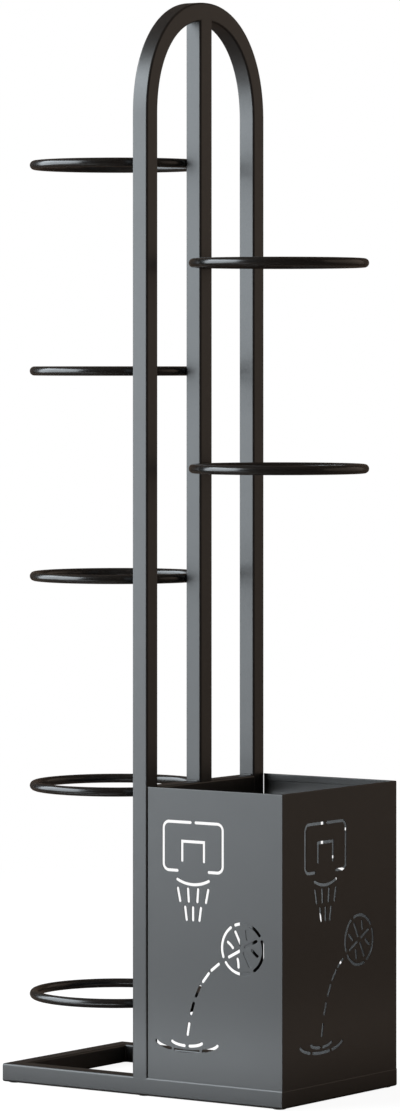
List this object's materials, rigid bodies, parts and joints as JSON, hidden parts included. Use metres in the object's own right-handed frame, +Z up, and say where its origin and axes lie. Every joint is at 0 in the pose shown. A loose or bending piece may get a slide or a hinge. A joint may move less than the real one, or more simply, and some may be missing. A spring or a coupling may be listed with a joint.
{
  "type": "sports ball rack",
  "caption": "Free-standing ball rack: square-tube arch on a rectangular base, round-bar ball rings on both sides and an open-topped sheet-metal bin with cut-outs.",
  "frame": {"origin": "the floor, under the middle of the base; the box of the whole rack is centred on it in X and Y", "axes": "+X along the base towards the bin, +Y across the base away from the pictured front, +Z up the arch"},
  "size_m": [0.521, 0.281, 1.5],
  "materials": {
    "powder_coated_steel": "satin black powder coat on welded steel tube and round bar",
    "powder_coated_sheet": "satin black powder coat on laser-cut sheet steel",
    "foot_rubber": "matt black rubber"
  },
  "bodies": {
    "root": {"arch_frame": "powder_coated_steel", "centre_post": "powder_coated_steel", "upper_crossbar": "powder_coated_steel", "lower_crossbar": "powder_coated_steel", "base_front_rail": "powder_coated_steel", "base_back_rail": "powder_coated_steel", "base_left_rail": "powder_coated_steel", "base_right_rail": "powder_coated_steel", "base_cross_rail": "powder_coated_steel", "foot_pad_front_left": "foot_rubber", "foot_pad_front_middle": "foot_rubber", "foot_pad_front_right": "foot_rubber", "foot_pad_back_left": "foot_rubber", "foot_pad_back_middle": "foot_rubber", "foot_pad_back_right": "foot_rubber", "left_ring_1": "powder_coated_steel", "left_ring_2": "powder_coated_steel", "left_ring_3": "powder_coated_steel", "left_ring_4": "powder_coated_steel", "left_ring_5": "powder_coated_steel", "right_ring_1": "powder_coated_steel", "right_ring_2": "powder_coated_steel", "front_panel": "powder_coated_sheet", "right_panel": "powder_coated_sheet", "back_panel": "powder_coated_sheet", "bin_floor": "powder_coated_sheet", "front_clip_lower": "powder_coated_sheet", "front_clip_middle": "powder_coated_sheet", "front_clip_upper": "powder_coated_sheet", "back_clip_lower": "powder_coated_sheet", "back_clip_middle": "powder_coated_sheet", "back_clip_upper": "powder_coated_sheet", "front_corner_angle": "powder_coated_sheet", "back_corner_angle": "powder_coated_sheet"}
  },
  "joints": []
}
